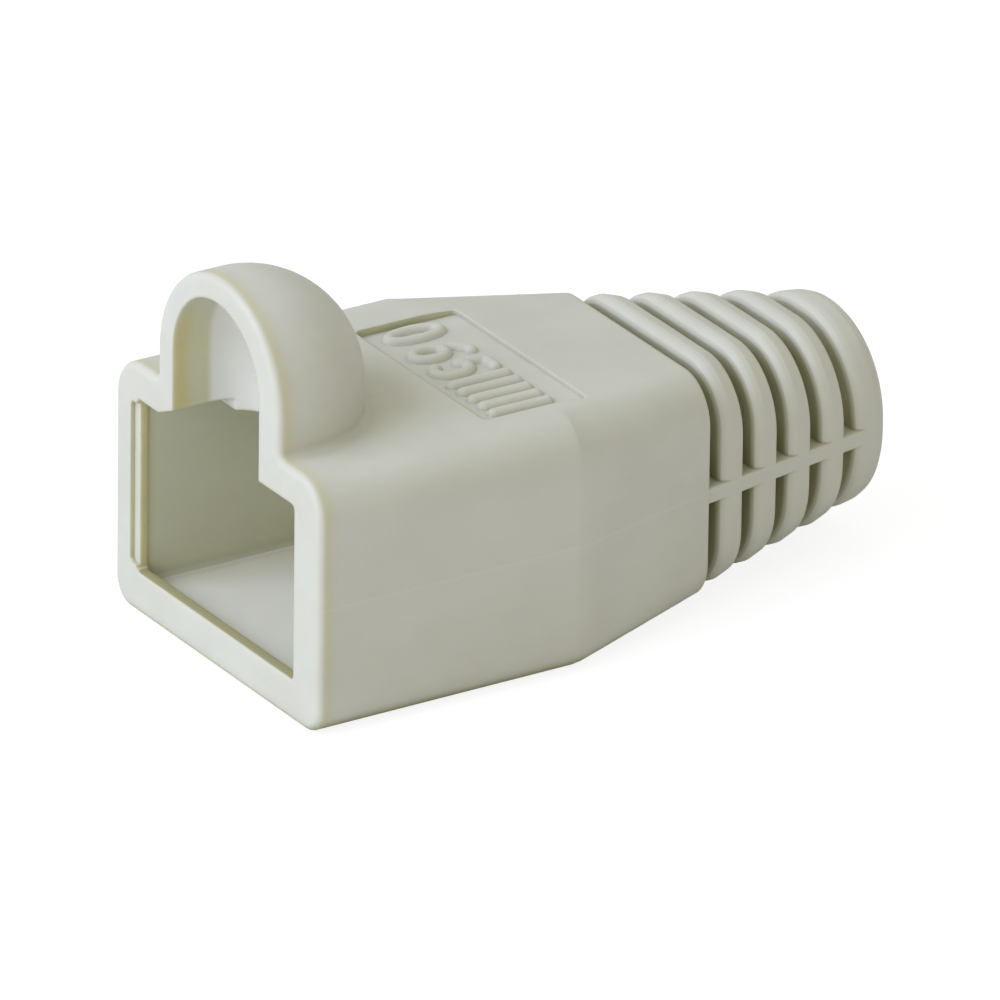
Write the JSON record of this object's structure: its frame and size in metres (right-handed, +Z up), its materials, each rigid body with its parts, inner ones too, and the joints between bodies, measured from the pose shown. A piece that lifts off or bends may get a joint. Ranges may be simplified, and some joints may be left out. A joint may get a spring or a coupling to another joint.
{
  "type": "rj45 strain relief boot",
  "caption": "Soft one-piece boot that slips over a modular data plug: open mouth, rounded latch hood, tapered body and slotted ring tail that stops the cable kinking.",
  "frame": {"origin": "on the foot plane z = 0, under the middle of the boot's box", "axes": "+X across the boot, +Y from the plug's mouth towards the tail that the cable leaves by, +Z up towards the latch hood"},
  "size_m": [0.0152, 0.0286, 0.0165],
  "materials": {
    "soft_pvc": "light warm grey soft PVC, satin, faint parting line and flow marks"
  },
  "bodies": {
    "root": {"strain_relief_boot": "soft_pvc"}
  },
  "joints": []
}
